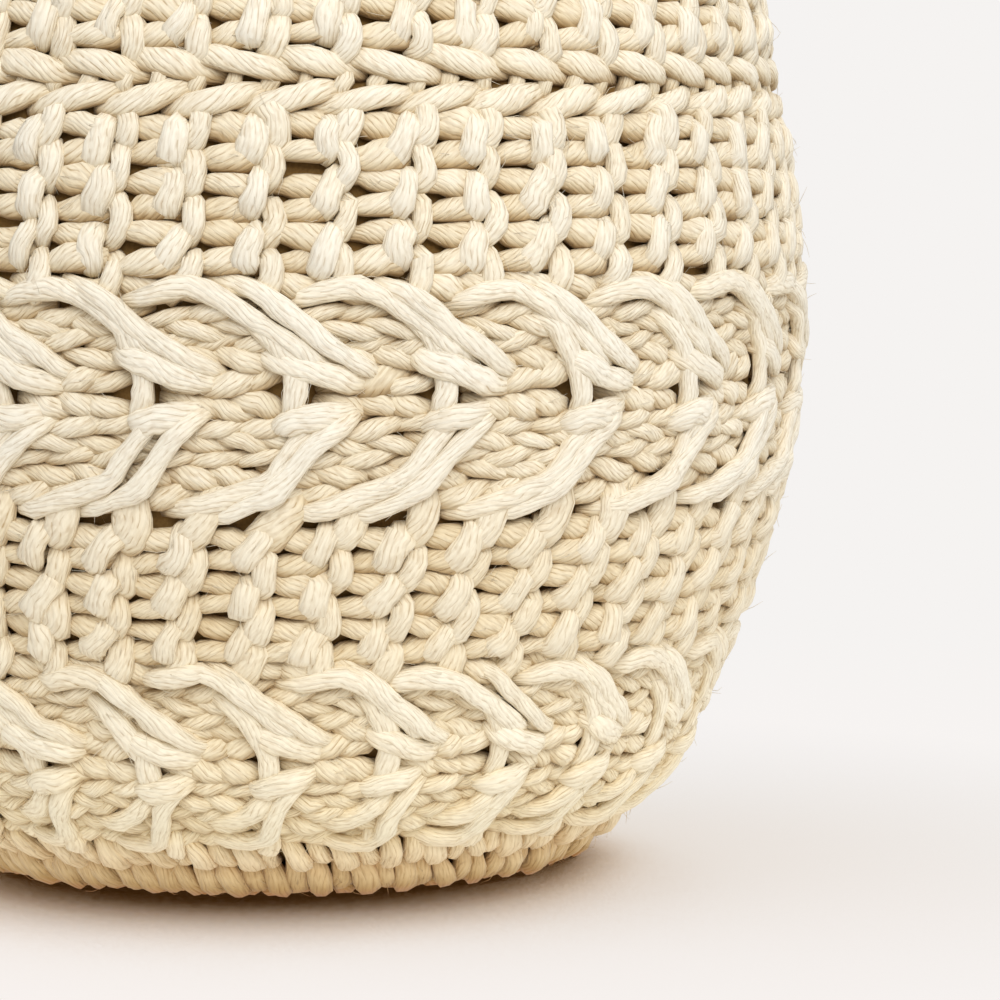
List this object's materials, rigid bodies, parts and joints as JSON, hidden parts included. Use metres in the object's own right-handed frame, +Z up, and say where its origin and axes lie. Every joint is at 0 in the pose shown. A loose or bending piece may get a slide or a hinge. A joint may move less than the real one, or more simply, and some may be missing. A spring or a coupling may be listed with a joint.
{
  "type": "round crochet pouf pillow",
  "caption": "Round stuffed floor pillow in a chunky crochet cover with cable, mesh and rope rounds, standing upright on its flat base to sit or rest feet on.",
  "frame": {"origin": "middle of the flat base, on the surface that the pouf stands on", "axes": "+Z up along the pouf's own axis, -Y towards the front, +X to the right seen from the front"},
  "size_m": [0.4556, 0.4556, 0.438],
  "materials": {
    "cotton_cord": "matte, soft, slightly fuzzy natural cotton cord"
  },
  "bodies": {
    "root": {"pouf": "cotton_cord"}
  },
  "joints": []
}
